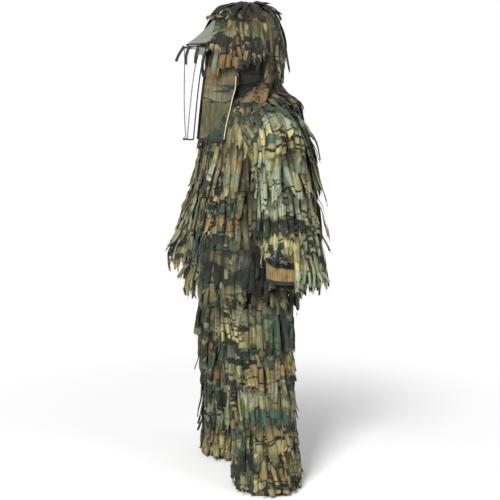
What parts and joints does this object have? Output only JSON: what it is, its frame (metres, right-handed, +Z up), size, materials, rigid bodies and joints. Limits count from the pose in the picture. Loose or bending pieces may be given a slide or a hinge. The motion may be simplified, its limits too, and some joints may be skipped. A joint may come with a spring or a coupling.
{
  "type": "ghillie suit",
  "caption": "Two-piece camouflage suit in its worn shape: strip-covered hooded jacket with sheer face veil, cheek flaps and visor, and matching strip-covered trousers.",
  "frame": {"origin": "centre of the trousers' waistband opening, 1.02 m above the bottom of the hems", "axes": "+Z up along the body, front of the suit faces -Y, wearer's left is +X"},
  "size_m": [0.8404, 0.4602, 1.8535],
  "materials": {
    "base_cloth": "matte woven camouflage cloth, olive, ochre and dark green patches",
    "fringe_strips": "matte frayed camouflage strips",
    "sleeve_strips": "matte frayed camouflage strips, more sage than the body",
    "camo_flap": "smooth printed cloth, slight sheen",
    "sheer_mesh": "sheer fine net",
    "black_trim": "black woven binding",
    "elastic": "dark ribbed elastic",
    "zip_metal": "dark coated metal",
    "zip_pull": "dark moulded plastic"
  },
  "bodies": {
    "trousers": {"waistband": "base_cloth", "waist_elastic": "elastic", "left_thigh_front": "base_cloth", "left_thigh_back": "base_cloth", "right_thigh_front": "base_cloth", "right_thigh_back": "base_cloth", "left_thigh_fringe": "fringe_strips", "right_thigh_fringe": "fringe_strips"},
    "left_shin": {"left_shin_front": "base_cloth", "left_shin_back": "base_cloth", "left_shin_fringe": "fringe_strips", "left_hem_band": "base_cloth"},
    "right_shin": {"right_shin_front": "base_cloth", "right_shin_back": "base_cloth", "right_shin_fringe": "fringe_strips", "right_hem_band": "base_cloth"},
    "jacket": {"jacket_back": "base_cloth", "jacket_front_left": "base_cloth", "jacket_front_right": "base_cloth", "neck_band": "base_cloth", "hanger_loop": "black_trim", "zip_tape_left": "black_trim", "zip_tape_right": "black_trim", "zip_retainer_box": "zip_metal", "jacket_fringe_left": "fringe_strips", "jacket_fringe_right": "fringe_strips", "jacket_fringe_back": "fringe_strips"},
    "zip_slider": {"zip_slider": "zip_metal"},
    "zip_pull": {"zip_pull_tab": "zip_pull"},
    "left_upper_sleeve": {"left_upper_sleeve": "base_cloth", "left_upper_sleeve_fringe": "sleeve_strips"},
    "left_lower_sleeve": {"left_lower_sleeve": "base_cloth", "left_lower_sleeve_fringe": "sleeve_strips", "left_cuff_elastic": "black_trim"},
    "right_upper_sleeve": {"right_upper_sleeve": "base_cloth", "right_upper_sleeve_fringe": "sleeve_strips"},
    "right_lower_sleeve": {"right_lower_sleeve": "base_cloth", "right_lower_sleeve_fringe": "sleeve_strips", "right_cuff_elastic": "black_trim"},
    "hood": {"hood_crown": "base_cloth", "hood_left": "base_cloth", "hood_right": "base_cloth", "hood_fringe_left": "fringe_strips", "hood_fringe_right": "fringe_strips", "visor": "sheer_mesh", "visor_binding": "black_trim", "left_cheek_flap": "camo_flap", "right_cheek_flap": "camo_flap", "left_flap_hem": "black_trim", "right_flap_hem": "black_trim"},
    "veil": {"veil_mesh": "sheer_mesh", "veil_top_binding": "black_trim", "veil_hem_binding": "black_trim", "veil_left_edge": "black_trim", "veil_right_edge": "black_trim", "veil_centre_binding": "black_trim", "veil_ribbon_1": "black_trim", "veil_ribbon_2": "black_trim", "veil_ribbon_3": "black_trim"}
  },
  "joints": [
    {"name": "jacket_lift_off", "type": "slide", "parent": "trousers", "child": "jacket", "axis": [0, 0, 1], "range_m": [0, 0.45]},
    {"name": "hood_tilt", "type": "hinge", "parent": "jacket", "child": "hood", "pos_m": [0, 0, 0.52], "axis": [-1, 0, 0], "range_deg": [0, 25]},
    {"name": "veil_lift", "type": "hinge", "parent": "hood", "child": "veil", "pos_m": [0, -0.238, 0.68], "axis": [-1, 0, 0], "range_deg": [0, 150]},
    {"name": "left_shoulder", "type": "hinge", "parent": "jacket", "child": "left_upper_sleeve", "pos_m": [0.203, 0.025, 0.365], "axis": [-1, 0, 0], "range_deg": [-25, 60]},
    {"name": "left_elbow", "type": "hinge", "parent": "left_upper_sleeve", "child": "left_lower_sleeve", "pos_m": [0.306, 0.076, 0.07], "axis": [-1, 0, 0], "range_deg": [0, 50]},
    {"name": "right_shoulder", "type": "hinge", "parent": "jacket", "child": "right_upper_sleeve", "pos_m": [-0.203, 0.025, 0.365], "axis": [-1, 0, 0], "range_deg": [-35, 50]},
    {"name": "right_elbow", "type": "hinge", "parent": "right_upper_sleeve", "child": "right_lower_sleeve", "pos_m": [-0.306, -0.08, 0.07], "axis": [-1, 0, 0], "range_deg": [0, 50]},
    {"name": "left_knee", "type": "hinge", "parent": "trousers", "child": "left_shin", "pos_m": [0.136, 0.01575, -0.52], "axis": [1, 0, 0], "range_deg": [0, 40]},
    {"name": "right_knee", "type": "hinge", "parent": "trousers", "child": "right_shin", "pos_m": [-0.136, -0.028, -0.52], "axis": [1, 0, 0], "range_deg": [0, 40]},
    {"name": "zip_run", "type": "slide", "parent": "jacket", "child": "zip_slider", "axis": [0, -0.0946, -0.9955], "range_m": [0, 0.52]},
    {"name": "zip_pull_hinge", "type": "hinge", "parent": "zip_slider", "child": "zip_pull", "pos_m": [0, -0.1534, 0.37562], "axis": [-1, 0, 0], "range_deg": [0, 150]}
  ]
}
